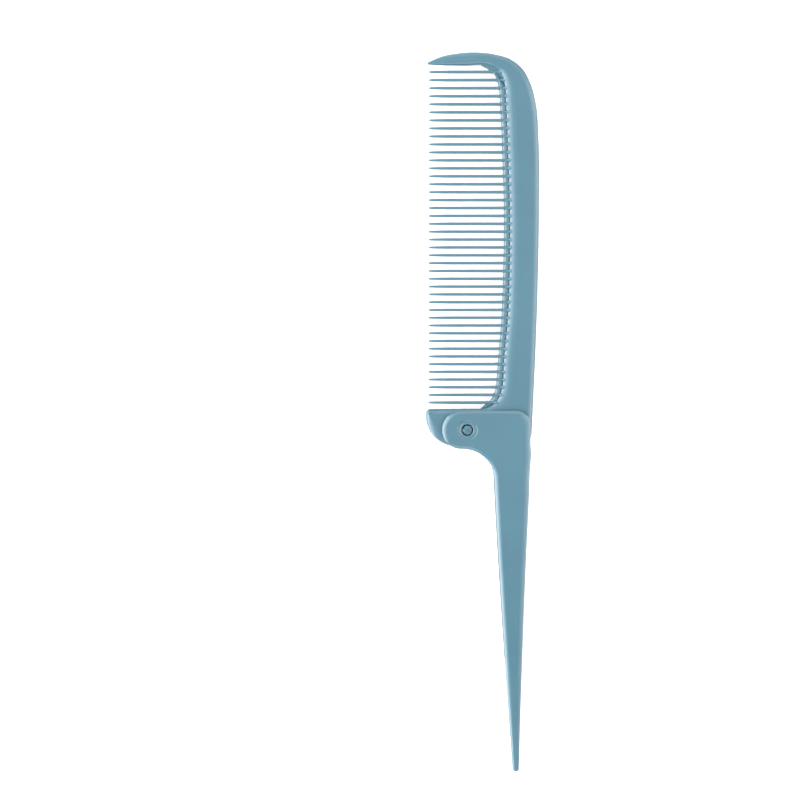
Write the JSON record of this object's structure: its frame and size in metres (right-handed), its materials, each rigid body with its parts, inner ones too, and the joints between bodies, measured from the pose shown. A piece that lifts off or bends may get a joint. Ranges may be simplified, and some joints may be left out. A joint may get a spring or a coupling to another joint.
{
  "type": "folding comb",
  "caption": "Folding tail comb: fine teeth on a curved spine, with a slotted tail handle that swings in over the tooth tips.",
  "frame": {"origin": "middle of the bounding box on the surface that the comb lies on, with the comb on its back and the tail swung out", "axes": "+Y along the comb from the tail's tip to the end tooth, +X from the tooth tips to the spine, +Z out of the front cheek, along the hinge pin"},
  "size_m": [0.0336, 0.22, 0.007],
  "materials": {
    "comb_plastic": "satin moulded plastic, blue-grey",
    "handle_plastic": "satin moulded plastic, blue-grey",
    "pin_plastic": "satin moulded plastic, blue-grey"
  },
  "bodies": {
    "head": {"comb_head": "comb_plastic", "hinge_pin": "pin_plastic"},
    "handle": {"handle": "handle_plastic"}
  },
  "joints": [
    {"name": "handle_fold", "type": "hinge", "parent": "head", "child": "handle", "pos_m": [-0.00432, -0.0018, 0.0035], "axis": [0, 0, -1], "range_deg": [0, 180]}
  ]
}
